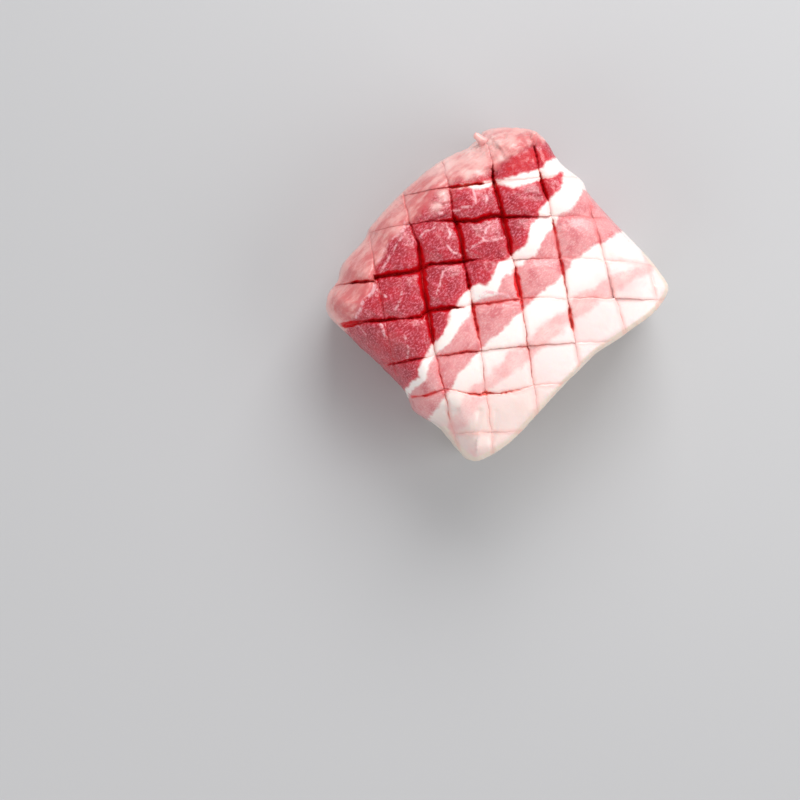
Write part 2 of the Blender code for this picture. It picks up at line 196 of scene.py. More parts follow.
# Lumps and folds of the upper side: (X, Y, radius, height), and lines with a depth and a width
relief = {
    "lumps": ((28.5, 25.0, 3.2, 0.9), (22.5, 26.8, 2.4, 0.9), (33.2, 22.4, 1.8, 0.7), (24.3, 30.4, 1.6, 1.2),
              (20.4, 23.6, 1.6, 0.5), (16.2, 25.6, 2.4, 0.5), (6.2, 29.0, 3.0, 0.5), (-8.5, 28.5, 3.5, 0.5),
              (-22.0, 24.5, 2.6, 0.5), (-33.5, 20.0, 3.0, 0.7), (10.0, 19.0, 2.6, 0.4), (4.5, 14.5, 3.0, 0.3),
              (-5.5, 15.5, 2.6, 0.3), (27.5, -6.0, 5.0, 0.4), (-28.5, -24.0, 3.0, 0.4),
              (-14.0, -28.0, 4.0, 0.4)),
    "folds": (
        {"line": ((4.0, 23.8), (6.5, 22.5), (8.6, 21.8)), "depth": 0.5, "width": 0.4},
        {"line": ((-1.5, 23.0), (0.8, 22.0), (2.6, 21.2)), "depth": 0.6, "width": 0.35},
        {"line": ((-36.0, 19.0), (-31.0, 18.0), (-26.0, 18.6), (-23.0, 19.8)), "depth": 0.4, "width": 0.6},
        {"line": ((-34.0, -15.5), (-31.0, -16.5), (-28.5, -19.0)), "depth": 0.5, "width": 0.8},
        {"line": ((-24.0, -23.0), (-28.0, -26.0), (-32.0, -26.5)), "depth": 0.5, "width": 0.7},
        {"line": ((-21.0, -26.0), (-24.0, -29.0), (-28.0, -32.0)), "depth": 0.25, "width": 0.6},
    ),
    "skinStep": 0.12, "skinEdge": 0.9,      # how far the rib skin stands above the lean, and over what width
    "flapStep": 0.5, "flapFrom": 16.5, "flapBlend": 2.5,    # the loose flap stands higher, from this X on
    "leanGrain": 0.17, "leanGrainSize": 1.2,
    "fatGrain": 0.06, "fatGrainSize": 3.4,
    "skinGrain": 0.12, "skinGrainSize": 2.0,
    "flapGrain": 0.3, "flapGrainSize": 2.6,
    "veinHeight": 0.08, "fatHeight": 0.12,
    "calmDepth": 1.5,               # the grain dies out this deep in a gap
    "sideWaves": 0.45, "sideWaveSize": 11.0,
}

# Fine white veins in the lean, with a painted highlight along their fold edges, and soft patches (X, Y,
# radius) of another colour
marks = {
    "veins": (
        ((7.6, 19.9), (9.4, 18.3), (11.1, 18.4), (12.6, 21.1)),
        ((14.8, 19.1), (13.7, 16.9), (11.8, 16.2)),
        ((1.0, 10.6), (3.1, 10.3), (5.7, 9.7), (8.3, 11.3), (9.8, 11.6)),
        ((5.7, 9.7), (8.6, 7.5), (11.0, 6.6)),
        ((1.5, 18.9), (0.6, 16.5), (-1.9, 15.5), (-2.1, 12.6), (-0.7, 10.5)),
        ((-4.6, 25.8), (-10.7, 25.8), (-14.0, 25.3), (-16.3, 24.3), (-19.2, 23.6)),
        ((-6.0, 27.0), (-9.0, 24.6), (-12.5, 23.6), (-16.0, 22.4), (-19.5, 21.4)),
        ((-18.7, 13.7), (-20.7, 12.3), (-23.2, 11.3)),
        ((-23.2, 18.5), (-22.6, 15.5)),
        ((-25.7, 4.8), (-27.2, 1.3), (-29.2, -0.1)),
        ((-7.1, 10.6), (-10.1, 8.5), (-12.3, 7.3)),
        ((-33.1, 15.3), (-32.9, 11.9), (-35.0, 11.0)),
        ((2.0, 22.6), (4.4, 21.4), (6.6, 19.8)),
        ((-1.2, 20.6), (-4.0, 21.6), (-6.0, 21.2)),
    ),
    "veinWidth": 0.25,
    "seams": (((-28.4, 11.2), (-29.7, 7.5)), ((-22.6, 19.8), (-24.6, 18.7), (-27.8, 18.8), (-29.7, 17.6),
              (-32.0, 16.9)), ((-4.2, -0.7), (-2.0, -1.0), (1.1, -5.4))),
    "seamWidth": 0.4,
    "freshAndGlow": ((24.0, 19.0, 1.5), (27.3, 18.2, 2.3), (30.0, 17.6, 1.8), (32.4, 16.2, 1.6), (27.2, 9.6, 1.4),
              (10.4, 3.4, 1.4), (-19.5, 0.5, 1.2)),
    "milky": ((14.6, 26.0, 2.0), (17.8, 24.0, 1.6), (24.0, 22.6, 1.0), (6.4, 25.8, 1.8), (2.7, 24.6, 1.6),
              (-9.0, 26.6, 1.4), (25.5, 27.6, 3.6), (20.0, 29.0, 4.0), (12.0, 31.5, 4.0)),
    "blush": ((26.2, -22.1, 4.0), (28.6, -17.6, 2.0), (32.5, -22.9, 2.6), (30.0, -27.8, 2.6),
              (-32.4, -12.0, 2.0), (-34.0, -22.5, 3.0), (33.0, -11.0, 2.0), (-33.2, -30.6, 2.4)),
    # fat shade patches: painted shade, the fat darker beige at its lower left end
    "fatShadePatch": ((-26.0, -27.0, 12.0), (-33.0, -22.0, 8.0), (-14.0, -30.0, 7.0)),
}

# Loose shreds at the rim: (foot, tip, radius, how much higher the tip is)
shreds = {
    "places": (((22.9, 28.2), (24.5, 32.4), 1.7, 0.6), ((31.9, 21.2), (35.2, 21.0), 1.6, 0.6)),
    "around": 16, "along": 14,
    "taper": 0.4, "flatness": 0.8,
    "curl": 0.35, "curlTurn": 5.0,
    "sunk": 0.6,                    # share of the radius that lies below the surface
}

# How the layers change down through the block, in mm
tissue = {
    "drift": 0.13, "driftSize": 15.0,
    "upperDrift": 0.3,              # share of the drift that is left on the upper side
    "ragged": 0.55, "raggedSize": 2.6,
    "rindDepth": 1.3, "rindBefore": -20.0,
    "skinBeyond": 12.0, "skinLean": 0.4,    # the rib skin starts at this Y at the earliest
    "topFatDepth": 16.0, "topFatLoss": 0.2,     # the top fat thins out below this depth
    "veinDepth": 6.0,
}


def smoothStep(share):
    share = np.clip(share, 0.0, 1.0)
    return share * share * (3.0 - 2.0 * share)


def fieldNoise(places, size, seed, octaves=3):
    # one value from about -1 to 1 for each place, with features of the given size across
    shift = Vector((seed * 17.3, seed * -9.1, seed * 5.7))
    return np.array([noise.fractal(Vector(place) + shift, 0.6, 2.0, octaves,
                                   noise_basis="PERLIN_ORIGINAL") for place in places / size])


def smoothOutline():
    points, sides = [], []
    for name in block["sides"]:
        for corner in block[name]["corners"]:
            points.append(np.array(corner))
            sides.append(block[name]["shoulder"])
    curve, plain = [], []
    for i, start in enumerate(points):
        before, end, after = (points[(i + k) % len(points)] for k in (-1, 1, 2))
        for step in range(block["stepsPerSpan"]):
            t = step / block["stepsPerSpan"]
            curve.append(0.5 * (2 * start + (end - before) * t
                                + (2 * before - 5 * start + 4 * end - after) * t ** 2
                                + (3 * start - before - 3 * end + after) * t ** 3))
            plain.append(sides[i])
    reach = block["cornerBlend"]
    blended = sum(np.roll(np.array(plain), k, axis=0) for k in range(-reach, reach + 1))
    return np.array(curve), blended / (2 * reach + 1)


outline, shoulders = smoothOutline()


def outlineReach(x, y):
    # distance inside the outline, negative outside, and the index of the nearest outline point
    reach, nearest = np.full(len(x), 1e9), np.zeros(len(x), int)
    inside = np.zeros(len(x), bool)
    for i, (start, end) in enumerate(zip(outline, np.roll(outline, -1, axis=0))):
        gap = (x - start[0]) ** 2 + (y - start[1]) ** 2
        closer = gap < reach
        reach[closer] = gap[closer]
        nearest[closer] = i
        spans = (start[1] > y) != (end[1] > y)
        if spans.any():
            inside ^= spans & (x < start[0] + (y - start[1]) / (end[1] - start[1]) * (end[0] - start[0]))
    return np.where(inside, np.sqrt(reach), -np.sqrt(reach)), nearest


def plainHeight(x, y, reach, nearest):
    # height of the upper side before it is scored
    width, depth = shoulders[nearest].T
    outward = np.maximum(1.0 - reach / width, 0.0)
    split = np.minimum(outward, block["shoulderSplit"])
    level = np.sqrt(1.0 - split ** 2)
    drop = depth * (1.0 - level + split / level * np.minimum(outward - split, 1.0))
    along = (x - block["crownAt"][0]) / block["halfSize"][0]
    across = (y - block["crownAt"][1]) / block["halfSize"][1]
    return block["crownHeight"] - block["fall"][0] * along ** 2 - block["fall"][1] * across ** 2 - drop


def cutLines(family, station):
    # where each cut of a family lies at a station
    first, last = cuts["stations"][0], cuts["stations"][2]
    along = (first - station) / (first - last)
    weights = (2 * along - 1) * (along - 1), 4 * along * (1 - along), along * (2 * along - 1)
    return np.array([sum(cut["at"][k] * weights[k] for k in range(3))
                     + np.interp(station, *zip(*cut["bend"])) for cut in cuts[family]])


def cutPlace(family, number, station):
    lines = cutLines(family, station)
    lower = np.clip(np.floor(number), 1, len(lines) - 1).astype(int)
    each = np.arange(len(number))
    low, high = lines[lower - 1, each], lines[lower, each]
    return low + (high - low) * (number - lower)


def cutNumber(family, place, station):
    # the other way round: the number of the cut at a place, with parts between two cuts
    lines = cutLines(family, station)
    upward = 1.0 if lines[1, 0] > lines[0, 0] else -1.0
    number = 1.0 + (place - lines[0]) / (lines[1] - lines[0])
    for i in range(1, len(lines) - 1):
        beyond = upward * (place - lines[i]) > 0.0
        number = np.where(beyond, 1.0 + i + (place - lines[i]) / (lines[i + 1] - lines[i]), number)
    return number


def crossing(down, cross):
    # plan position where two cuts meet, for whole and part numbers
    x, y = np.zeros(len(down)), np.zeros(len(down))
    for _ in range(25):
        x = cutPlace("down", down, y)
        y = cutPlace("cross", cross, x)
    return x, y


def strayNumbers(x, y):
    # how far the real cuts wander from their smooth lines, in cut numbers
    flat = np.column_stack((x, y, 0.0 * x))
    stray = cuts["wander"] / cuts["spacing"]
    return stray * fieldNoise(flat, cuts["wanderSize"], 1), stray * fieldNoise(flat, cuts["wanderSize"], 2)


def openCut(family, number, along, inLean, ragged):
    # for the nearest cut of a family: sinking beside it, depth of its open gap, distance and width
    nearest = np.rint(number).astype(int)
    deepest = max(cut["depth"] for cut in cuts[family])
    depth, width = np.zeros(len(number)), np.full(len(number), 0.3)
    for i, cut in enumerate(cuts[family]):
        mine = nearest == i + 1
        places, widths = zip(*cut["gape"])
        depth[mine] = cut["depth"]
        width[mine] = np.interp(along[mine], places, widths) * (1.0 + ragged[mine])
    away = np.abs(number - nearest) * cuts["spacing"]
    share = depth / deepest
    pillow = share * (1.0 - np.minimum(2.0 * away / cuts["spacing"], 1.0)) ** 2
    pillow *= cuts["pillowDrop"] * (0.45 + 0.55 * inLean)
    lip = cuts["lipDrop"] * share * np.clip(width - 0.12 + 0.2 * inLean, 0.04, 1.0)
    lip *= np.exp(-away / cuts["lipReach"])
    inGap = np.clip(1.0 - away / (0.5 * width + 0.1), 0.0, 1.0) ** 0.7
    opened = cuts["openDepth"] * depth * inGap * np.clip(width, 0.06, 1.0)
    return pillow + lip, opened, np.where(depth > 0.0, away, 9.0), width


def distanceTo(line, x, y):
    best = np.full(len(x), 1e9)
    for (x0, y0), (x1, y1) in zip(line, line[1:]):
        dx, dy = x1 - x0, y1 - y0
        t = np.clip(((x - x0) * dx + (y - y0) * dy) / (dx * dx + dy * dy), 0.0, 1.0)
        best = np.minimum(best, np.hypot(x - x0 - t * dx, y - y0 - t * dy))
    return best


def insideBand(band, x, y):
    # half width of a band minus the distance to its middle line, so it is above 0 inside
    best = np.full(len(x), -1e9)
    for (x0, y0, w0), (x1, y1, w1) in zip(band, band[1:]):
        dx, dy = x1 - x0, y1 - y0
        t = np.clip(((x - x0) * dx + (y - y0) * dy) / (dx * dx + dy * dy), 0.0, 1.0)
        best = np.maximum(best, w0 + (w1 - w0) * t - np.hypot(x - x0 - t * dx, y - y0 - t * dy))
    return best


def lineAt(band, x):
    places = sorted((point[0], point[1]) for point in band)
    return np.interp(x, [p[0] for p in places], [p[1] for p in places])


def onFlap(x):
    return smoothStep((x - relief["flapFrom"]) / relief["flapBlend"])


def scoredHeight(x, y, down, cross):
    # height of the upper side, the depth of the open gap, the distance to the nearest cut and its width
    reach, nearest = outlineReach(x, y)
    inLean = smoothStep((y + 12.0) / 12.0)
    ragged = cuts["raggedLips"] * fieldNoise(np.column_stack((x, y, 0.0 * x)), cuts["raggedSize"], 3)
    sunkDown, gapDown, awayDown, wideDown = openCut("down", down, y, inLean, ragged)
    sunkCross, gapCross, awayCross, wideCross = openCut("cross", cross, x, inLean, ragged)
    inDark = smoothStep((y - lineAt(layers["firstFat"], x)) / 2.5 + 0.5)
    nearRind = smoothStep((cuts["rindReached"] - y) / (cuts["rindReached"] - cuts["rindFace"]))
    gap = np.maximum(gapDown, gapCross) * (1.0 + (cuts["depthAtRind"] - 1.0) * nearRind)
    gap *= cuts["paleDepth"] + (1.0 - cuts["paleDepth"]) * inDark
    draw = np.random.default_rng(cuts["seed"])
    lifts = draw.uniform(-1.0, 1.0, (3, len(cuts["down"]) + 1, len(cuts["cross"]) + 1))
    row = np.clip(np.floor(down), 0, len(cuts["down"])).astype(int)
    column = np.clip(np.floor(cross), 0, len(cuts["cross"])).astype(int)
    lift = cuts["lift"] * lifts[0, row, column]
    lift += cuts["tilt"] * lifts[1, row, column] * np.clip(down - row - 0.5, -0.5, 0.5)
    lift += cuts["tilt"] * lifts[2, row, column] * np.clip(cross - column - 0.5, -0.5, 0.5)
    lift *= smoothStep(reach / 6.0)
    for lumpX, lumpY, radius, height in relief["lumps"]:
        lift += height * np.exp(-((x - lumpX) ** 2 + (y - lumpY) ** 2) / radius ** 2)
    for fold in relief["folds"]:
        lift -= fold["depth"] * np.exp(-(distanceTo(fold["line"], x, y) / fold["width"]) ** 2)
    intoSkin = y - lineAt(layers["ribLine"], x)
    skinStep = relief["skinStep"] + relief["flapStep"] * onFlap(x)
    lift += skinStep * smoothStep(intoSkin / relief["skinEdge"])
    sunk = (sunkDown + sunkCross) * (1.0 - cuts["skinEase"] * smoothStep(intoSkin / 2.0))
    height = plainHeight(x, y, reach, nearest) - sunk + lift
    gape = np.where(awayDown - 0.5 * wideDown < awayCross - 0.5 * wideCross, wideDown, wideCross)
    return height, gap, np.minimum(awayDown, awayCross), gape


def getPlaces(mesh, what="co"):
    flat = np.empty(len(mesh.vertices) * 3, np.float32)
    mesh.vertices.foreach_get(what, flat)
    return flat.reshape(-1, 3).astype(float)


def setPlaces(mesh, places):
    mesh.vertices.foreach_set("co", (places * mm).astype(np.float32).ravel())
    mesh.update()


def makeMesh(name, shape):
    mesh = bpy.data.meshes.new(name)
    shape.to_mesh(mesh)
    shape.free()
    return mesh


def capEnds(shape):
    # closes every open ring with one face
    bmesh.ops.remove_doubles(shape, verts=shape.verts[:], dist=0.001 * mm)
    rims = [e for e in shape.edges if e.is_boundary]
    bmesh.ops.holes_fill(shape, edges=rims, sides=0)
    bmesh.ops.recalc_face_normals(shape, faces=shape.faces[:])


def makeSlab():
    # a sheet whose grid lines crowd beside the cuts, closed below by a skirt and a flat cap
    (fromDown, toDown), (fromCross, toCross) = cuts["slabReach"]
    per = cuts["linesPerDiamond"]
    lines = round((toDown - fromDown) * per), round((toCross - fromCross) * per)
    shape = bmesh.new()
    bmesh.ops.create_grid(shape, x_segments=lines[0], y_segments=lines[1], size=0.5)
    rim = [e for e in shape.edges if e.is_boundary]
    skirt = bmesh.ops.extrude_edge_only(shape, edges=rim)["geom"]
    for v in (item for item in skirt if isinstance(item, bmesh.types.BMVert)):
        v.co.z = -1.0
    rim = [item for item in skirt if isinstance(item, bmesh.types.BMEdge) and item.is_boundary]
    bmesh.ops.contextual_create(shape, geom=rim)
    bmesh.ops.recalc_face_normals(shape, faces=shape.faces[:])
    mesh = makeMesh("slab", shape)

    grid = getPlaces(mesh)
    number = []
    for k, (start, stop) in enumerate(cuts["slabReach"]):
        plain = start + np.rint((grid[:, k] + 0.5) * lines[k]) / per
        number.append(plain - cuts["crowding"] * np.sin(2 * math.pi * plain) / (2 * math.pi))
    stray = strayNumbers(*crossing(*number))
    x, y = crossing(number[0] - stray[0], number[1] - stray[1])
    height, gap, _, _ = scoredHeight(x, y, *number)
    setPlaces(mesh, np.column_stack((x, y, np.where(grid[:, 2] < -0.5, block["slabBottom"], height - gap))))
    return mesh


def makeColumn():
    # the sides of the block: a sheet rolled up, inset under the foot and leaning in over the shoulders
    count = len(outline)
    along = np.roll(outline, -1, axis=0) - np.roll(outline, 1, axis=0)
    inward = np.column_stack((-along[:, 1], along[:, 0])) / np.linalg.norm(along, axis=1)[:, None]
    width, depth = shoulders.T
    edgeHeight = block["crownHeight"] - 0.5 * sum(block["fall"])
    rings = []
    for k in range(block["underRings"]):
        rings.append(np.column_stack((outline * (0.04 + 0.9 * k / block["underRings"]), np.zeros(count))))
    for level, extra in block["footRound"]:
        tuck = block["footTuck"] * (1.0 - level / block["widestLevel"]) ** 2 + extra
        rings.append(np.column_stack((outline + inward * tuck, np.full(count, level))))
    start = block["footRound"][-1][0]
    for row in range(1, block["sideRows"] + 1):
        level = start + (edgeHeight - depth - start) * row / block["sideRows"]
        tuck = block["footTuck"] * np.maximum(1.0 - level / block["widestLevel"], 0.0) ** 2
        rings.append(np.column_stack((outline + inward * tuck[:, None], level)))
    for row in range(1, block["shoulderRows"] + 1):
        outward = 1.0 - (1.0 - block["shoulderSplit"]) * (row / block["shoulderRows"]) ** 1.5
        drop = depth * (1.0 - math.sqrt(1.0 - outward ** 2))
        rings.append(np.column_stack((outline + inward * (width * (1.0 - outward))[:, None],
                                      edgeHeight - drop)))
    rings.append(np.column_stack((rings[-1][:, :2], np.full(count, block["columnTop"]))))

    shape = bmesh.new()
    bmesh.ops.create_grid(shape, x_segments=count, y_segments=len(rings) - 1, size=0.5)
    for v in shape.verts:
        ring = rings[round((v.co.y + 0.5) * (len(rings) - 1))]
        v.co = Vector(ring[round((v.co.x + 0.5) * count) % count]) * mm
    capEnds(shape)
    return makeMesh("column", shape)


def cutOut(slab, column):
    # keeps the part of the slab inside the column, and tells which points came from the slab
    pieces = []
    for i, mesh in enumerate((slab, column)):
        for name in ("upper", "side"):
            mesh.materials.append(bpy.data.materials.get(name) or bpy.data.materials.new(name))
        mesh.polygons.foreach_set("material_index", np.full(len(mesh.polygons), i, np.int32))
        pieces.append(bpy.data.objects.new(mesh.name, mesh))
        bpy.context.scene.collection.objects.link(pieces[-1])
    trim = pieces[0].modifiers.new("inside the sides", "BOOLEAN")
    trim.operation = "INTERSECT"
    trim.solver = cuts["solver"]
    trim.object = pieces[1]
    shown = pieces[0].evaluated_get(bpy.context.evaluated_depsgraph_get())
    mesh = bpy.data.meshes.new_from_object(shown)
    for piece in pieces:
        bpy.data.objects.remove(piece)
    return mesh


def isUpper(mesh):
    # True for the points of the scored upper side
    upper = np.zeros(len(mesh.vertices), bool)
    for face in mesh.polygons:
        if face.material_index == 0:
            upper[list(face.vertices)] = True
    return upper


def mendSlivers(shape):
    # drops doubled and folded slivers, then closes the small gaps they leave
    for _ in range(block["mends"]):
        shape.faces.index_update()
        sameCorners = {}
        for face in shape.faces:
            sameCorners.setdefault(frozenset(face.verts), []).append(face)
        faulty = {face for faces in sameCorners.values() if len(faces) > 1 for face in faces}
        faulty |= {face for e in shape.edges if len(e.link_faces) > 2 for face in e.link_faces}
        bmesh.ops.delete(shape, geom=sorted(faulty, key=lambda face: face.index), context="FACES")
        bmesh.ops.delete(shape, geom=[e for e in shape.edges if not e.link_faces], context="EDGES")
        bmesh.ops.delete(shape, geom=[v for v in shape.verts if not v.link_faces], context="VERTS")
        bmesh.ops.holes_fill(shape, edges=[e for e in shape.edges if e.is_boundary], sides=0)
        bmesh.ops.triangulate(shape, faces=[f for f in shape.faces if len(f.verts) > 4])
    shape.verts.index_update()


def tidyRim(mesh):
    # welds slivers and eases the rim where the upper side meets the sides
    shape = bmesh.new()
    shape.from_mesh(mesh)
    bmesh.ops.remove_doubles(shape, verts=shape.verts[:], dist=block["weld"] * mm)
    bmesh.ops.dissolve_degenerate(shape, edges=shape.edges[:], dist=0.5 * block["weld"] * mm)
    mendSlivers(shape)
    rim = set()
    for e in shape.edges:
        if len({f.material_index for f in e.link_faces}) > 1:
            rim.update(e.verts)
    for _ in range(block["rimRows"]):
        rim |= {e.other_vert(v) for v in rim for e in v.link_edges}
    rim = sorted(rim, key=lambda v: v.index)
    for _ in range(block["rimSmoothings"]):
        bmesh.ops.smooth_vert(shape, verts=rim, factor=0.5, use_axis_x=True, use_axis_y=True,
                              use_axis_z=True)
    shape.to_mesh(mesh)
    shape.free()


def addShreds(mesh):
    # drawn-out, slightly curled balls that stand on the rim
    shape = bmesh.new()
    shape.from_mesh(mesh)
    for foot, tip, radius, rise in shreds["places"]:
        x, y = (np.array([foot[k], tip[k]]) for k in (0, 1))
        reach, nearest = outlineReach(x, y)
        level = plainHeight(x, y, np.maximum(reach, 0.5), nearest)[0] - shreds["sunk"] * radius
        start, end = Vector((*foot, level)), Vector((*tip, level + rise))
        side = (end - start).cross(Vector((0.0, 0.0, 1.0))).normalized()
        up = side.cross(end - start).normalized()
        ball = bmesh.ops.create_uvsphere(shape, u_segments=shreds["around"], v_segments=shreds["along"],
                                         radius=1.0)
        for v in ball["verts"]:
            share = 0.5 * (v.co.z + 1.0)
            wide = radius * (1.0 - shreds["taper"] * share)
            curl = shreds["curl"] * radius * math.sin(shreds["curlTurn"] * share)
            v.co = (start.lerp(end, share) + side * (v.co.x * wide + curl)
                    + up * (v.co.y * wide * shreds["flatness"])) * mm
            for face in v.link_faces:
                face.material_index = 1
    bmesh.ops.recalc_face_normals(shape, faces=shape.faces[:])
    shape.to_mesh(mesh)
    shape.free()


def readTissue(places, upper):
    # what the meat is at each place, as distances in mm that are above 0 inside each tissue
    x, y, z = places.T
    depth = block["crownHeight"] - z
    alongRind = np.column_stack((x, 0.0 * y, z))
    drift = tissue["drift"] * depth * fieldNoise(alongRind, tissue["driftSize"], 5, 2)
    ragged = tissue["ragged"] * fieldNoise(places, tissue["raggedSize"], 6, 3)
    w = y + drift * np.where(upper, tissue["upperDrift"], 1.0) + ragged
    reach, _ = outlineReach(x, y)
    firstFat = insideBand(layers["firstFat"], x, w)
    streak = insideBand(layers["streak"], x, w)
    secondFat = insideBand(layers["secondFat"], x, w)
    underRind = lineAt(layers["secondFat"], x) - w
    tuck = block["footTuck"] * np.maximum(1.0 - z / block["widestLevel"], 0.0) ** 2
    tuck *= np.where(z > 0.05, 1.0, 0.0)
    topFat = insideBand(layers["topFat"], x, w)
    topFat -= np.maximum(depth - tissue["topFatDepth"], 0.0) * tissue["topFatLoss"]
    fields = {
        "fat": np.maximum.reduce((firstFat, topFat, secondFat, underRind)),
        "outerFat": lineAt(layers["secondFat"], x) - 1.5 - w,
        "paleLean": np.minimum(lineAt(layers["firstFat"], x) - w, w - lineAt(layers["secondFat"], x)),
        "streak": streak,
        "membrane": np.minimum(w - lineAt(layers["ribLine"], x),
                               tissue["skinLean"] * (y - tissue["skinBeyond"])),
        "rind": tissue["rindDepth"] - (reach - tuck + (y - tissue["rindBefore"]).clip(0.0) * 2.0),
        "rim": reach,
    }
    veinAndSheen = np.full(len(x), -9.0)
    for lines, width in ((marks["veins"], marks["veinWidth"]), (marks["seams"], marks["seamWidth"])):
        for line in lines:
            lost = 0.1 * (depth.clip(tissue["veinDepth"]) - tissue["veinDepth"])
            veinAndSheen = np.maximum(veinAndSheen, width - distanceTo(line, x + 0.3 * ragged, y) - lost)
    fields["veinAndSheen"] = veinAndSheen
    for name in ("freshAndGlow", "milky", "blush", "fatShadePatch"):
        patch = np.zeros(len(x))
        for markX, markY, radius in marks[name]:
            away = np.hypot(x - markX + ragged, w - markY) / radius
            patch = np.maximum(patch, smoothStep(1.6 - away) if name == "freshAndGlow" else np.exp(-away ** 2))
        fields[name] = patch
    return fields


def finishMeat(mesh):
    # pushes the relief out along the normals and stores the tissues for the material
    upper = isUpper(mesh)
    places = getPlaces(mesh) / mm
    x, y, z = places.T
    stray = strayNumbers(x, y)
    down, cross = cutNumber("down", x, y) + stray[0], cutNumber("cross", y, x) + stray[1]
    lipHeight, _, fromCut, gape = scoredHeight(x, y, down, cross)
    fields = readTissue(places, upper)
    inGap = np.where(upper, np.maximum(lipHeight - z, 0.0), 0.0) * smoothStep(fields["rim"] / 0.8 - 0.4)
    fields["gap"] = inGap
    fields["fromCut"] = np.where(upper, np.minimum(fromCut, 6.0), 6.0)
    fields["gape"] = gape

    lean = smoothStep(0.5 - fields["fat"]) * smoothStep(0.5 - fields["membrane"])
    pale = smoothStep(fields["paleLean"] + 0.5)
    skin = smoothStep(fields["membrane"] + 0.5)
    calm = np.exp(-inGap / relief["calmDepth"])
    grain = (relief["leanGrain"] * lean * (1.0 - 0.5 * pale)
             * fieldNoise(places, relief["leanGrainSize"], 7, 3)
             + relief["fatGrain"] * (1.0 - lean) * fieldNoise(places, relief["fatGrainSize"], 8, 4)
             + relief["skinGrain"] * skin
             * fieldNoise(places * (0.45, 1.0, 1.0), relief["skinGrainSize"], 9, 3)
             + relief["flapGrain"] * skin * onFlap(x) * fieldNoise(places, relief["flapGrainSize"], 12, 3))
    push = calm * (grain + relief["veinHeight"] * smoothStep(fields["veinAndSheen"] / 0.4 + 0.5)
                   + relief["fatHeight"] * smoothStep(fields["fat"] * 2.0))
    _, nearest = outlineReach(x, y)
    wallTop = block["crownHeight"] - 0.5 * sum(block["fall"]) - shoulders[nearest, 1]
    sides = smoothStep((wallTop + 3.0 - z) / 8.0) * np.where(upper, 0.0, 1.0) * smoothStep(z / 3.0)
    push += sides * relief["sideWaves"] * fieldNoise(places, relief["sideWaveSize"], 10, 3)
    push *= smoothStep(z / 0.8)
    normals = getPlaces(mesh, "normal")
    moved = places + normals * push[:, None]
    moved[:, 2] = np.maximum(moved[:, 2], 0.0)
    setPlaces(mesh, moved)

    for name, values in fields.items():
        spot = mesh.attributes.new(name, "FLOAT", "POINT")
        spot.data.foreach_set("value", values.astype(np.float32))
    mesh.materials.clear()
    mesh.polygons.foreach_set("material_index", np.zeros(len(mesh.polygons), np.int32))
    mesh.polygons.foreach_set("use_smooth", np.ones(len(mesh.polygons), bool))


# Finishes, with sRGB colours and sizes in mm
finish = {
    "lean": (188, 18, 40), "deepLean": (160, 10, 34), "leanFleckAndSheen": (230, 122, 140), "leanHalo": (226, 54, 70),
    "fibreSize": 0.42, "fibreStretch": 0.55, "fibreTurns": (-42.0, 35.0), "fibreArea": 7.0,
    "webSize": 4.2, "webBend": 0.0022, "webBendScale": 420.0, "webShare": 0.16,
    "wobbleSize": 1.6, "fineSize": 0.7, "cloudSize": 4.5, "mottleSize": 3.0, "rindStainSize": 5.0,
    "paleLean": (226, 148, 150), "paleLeanRed": (210, 112, 118),
    "streak": (246, 206, 202), "streakDeep": (238, 182, 180),
    "fat": (250, 238, 234), "outerFat": (248, 226, 223), "fatShadeTone": (236, 210, 202),
    "blush": (243, 196, 194),
    "membrane": (214, 112, 112), "membraneRed": (196, 56, 70), "membraneEdge": (240, 182, 176),
    "milkySkin": (248, 206, 200),
    # gap and crease colours: the cut meat's own red, with painted glow (brighter red in the lean) and painted
    # shade (darker pink in the pale lean and fat)
    "freshAndGlow": (200, 12, 30), "gapGlowLean": (222, 8, 26), "gapShadePale": (236, 60, 62), "gapShadeFat": (240, 112, 102),
    "creaseGlowLean": (204, 20, 38), "creaseShadePale": (232, 104, 104), "creaseShadeFat": (242, 158, 150),
    "creaseSkin": (222, 118, 116),
    "rind": (238, 220, 206), "rindStain": (230, 208, 192), "veinAndSheen": (240, 182, 188),
    "roughness": 0.4, "coat": 0.45, "coatRoughness": 0.22,
    "subsurface": 0.2, "subsurfaceScale": 1.4, "subsurfaceRadius": (1.0, 0.35, 0.25),
    "bump": 0.8, "bumpDepth": 0.14,
}


def colour(name):
    # sRGB to the linear colour that a socket takes
    shares = [value / 255.0 for value in finish[name]]
    return [s / 12.92 if s <= 0.04045 else ((s + 0.055) / 1.055) ** 2.4 for s in shares] + [1.0]


